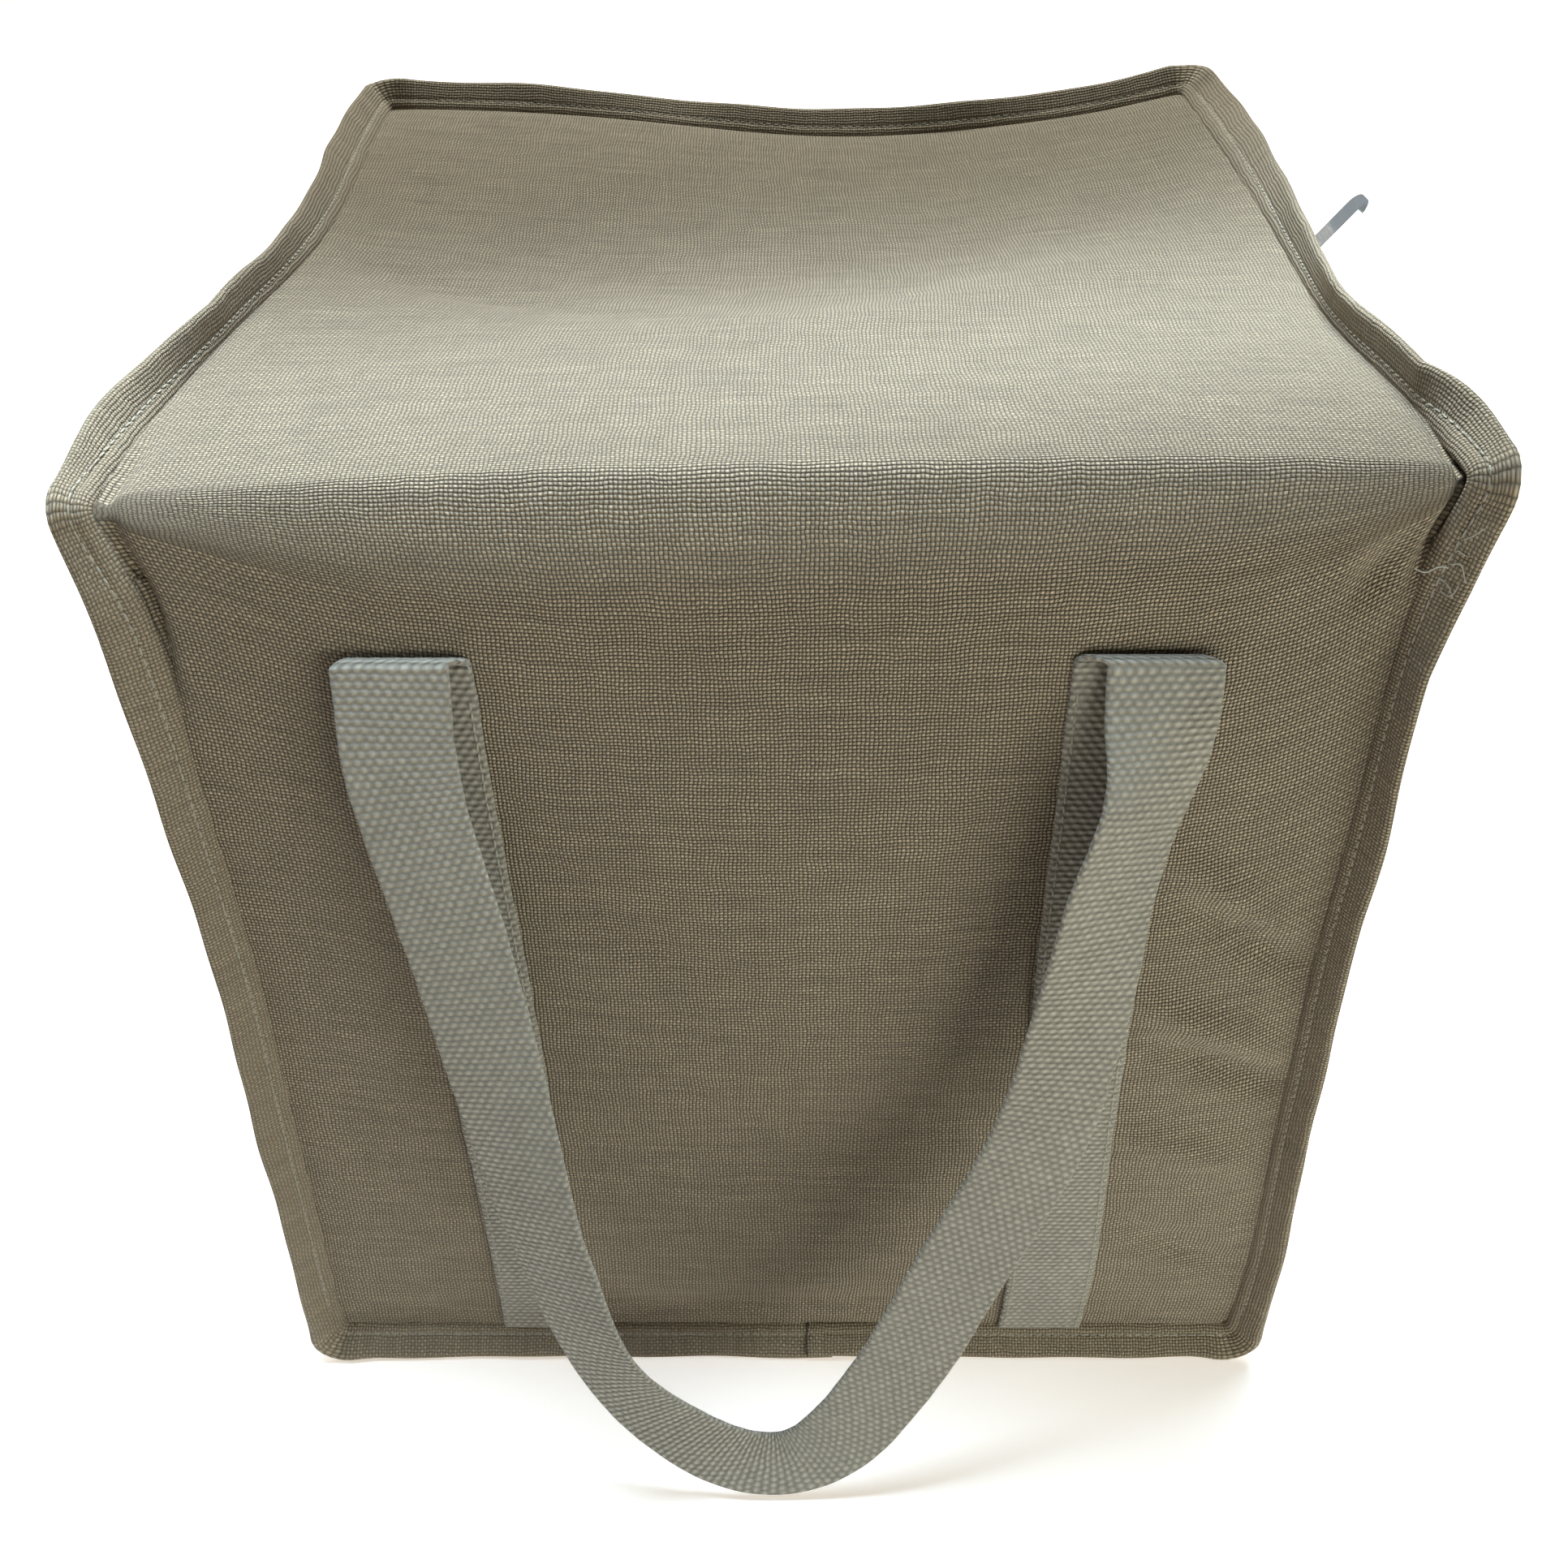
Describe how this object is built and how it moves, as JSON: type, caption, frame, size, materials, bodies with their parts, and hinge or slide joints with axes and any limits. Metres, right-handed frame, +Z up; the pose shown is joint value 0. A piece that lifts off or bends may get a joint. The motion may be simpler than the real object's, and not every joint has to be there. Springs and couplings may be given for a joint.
{
  "type": "fabric storage bin",
  "caption": "Near-cubic canvas storage bin with bound seams, a zipped lid that folds forward on the front panel's own fabric, and a hanging webbing handle front and back.",
  "frame": {"origin": "centre of the base, on the surface the bin stands on", "axes": "+Z up, +Y from the front panel with the lid's fold towards the back, +X to the right seen from the front"},
  "size_m": [0.3513, 0.46, 0.3621],
  "materials": {
    "canvas": "khaki basket-weave canvas",
    "binding": "folded canvas tape with an edge stitch",
    "webbing": "grey-beige basket-weave polyester webbing",
    "foam": "white closed-cell foam sheet",
    "board": "stiff grey board",
    "lining": "plain grey lining cloth",
    "zip_tape": "khaki knitted zip tape",
    "zip_coil": "khaki nylon coil",
    "zip_metal": "polished nickel plate"
  },
  "bodies": {
    "bin": {"front_panel": "canvas", "back_panel": "canvas", "left_panel": "canvas", "right_panel": "canvas", "base_panel": "canvas", "front_foam": "foam", "back_foam": "foam", "left_foam": "foam", "right_foam": "foam", "base_board": "board", "front_lining": "lining", "back_lining": "lining", "left_lining": "lining", "right_lining": "lining", "base_lining": "lining", "front_left_binding": "binding", "front_right_binding": "binding", "front_bottom_binding": "binding", "back_left_binding": "binding", "back_right_binding": "binding", "back_bottom_binding": "binding", "left_bottom_binding": "binding", "right_bottom_binding": "binding", "front_left_strap": "webbing", "front_right_strap": "webbing", "back_left_strap": "webbing", "back_right_strap": "webbing", "lower_zip_tape": "zip_tape", "lower_zip_coil": "zip_coil"},
    "lid": {"lid_panel": "canvas", "lid_foam": "foam", "lid_lining": "lining", "lid_left_binding": "binding", "lid_right_binding": "binding", "lid_back_binding": "binding", "upper_zip_tape": "zip_tape", "upper_zip_coil": "zip_coil"},
    "front_handle": {"front_handle_loop": "webbing"},
    "back_handle": {"back_handle_loop": "webbing"},
    "zip_slider": {"zip_slider": "zip_metal"},
    "zip_pull": {"zip_pull": "zip_metal"}
  },
  "joints": [
    {"name": "lid_fold", "type": "hinge", "parent": "bin", "child": "lid", "pos_m": [0, -0.167, 0.348], "axis": [1, 0, 0], "range_deg": [0, 175]},
    {"name": "front_handle_swing", "type": "hinge", "parent": "bin", "child": "front_handle", "pos_m": [0, -0.1692, 0.304], "axis": [1, 0, 0], "range_deg": [-168, 0]},
    {"name": "back_handle_swing", "type": "hinge", "parent": "bin", "child": "back_handle", "pos_m": [0, 0.1692, 0.304], "axis": [1, 0, 0], "range_deg": [0, 157]},
    {"name": "slider_travel", "type": "slide", "parent": "bin", "child": "zip_slider", "axis": [0, 1, 0], "range_m": [-0.145, 0.145]},
    {"name": "pull_swing", "type": "hinge", "parent": "zip_slider", "child": "zip_pull", "pos_m": [0.166, 0.002, 0.341], "axis": [0, 1, 0], "range_deg": [0, 140]}
  ]
}
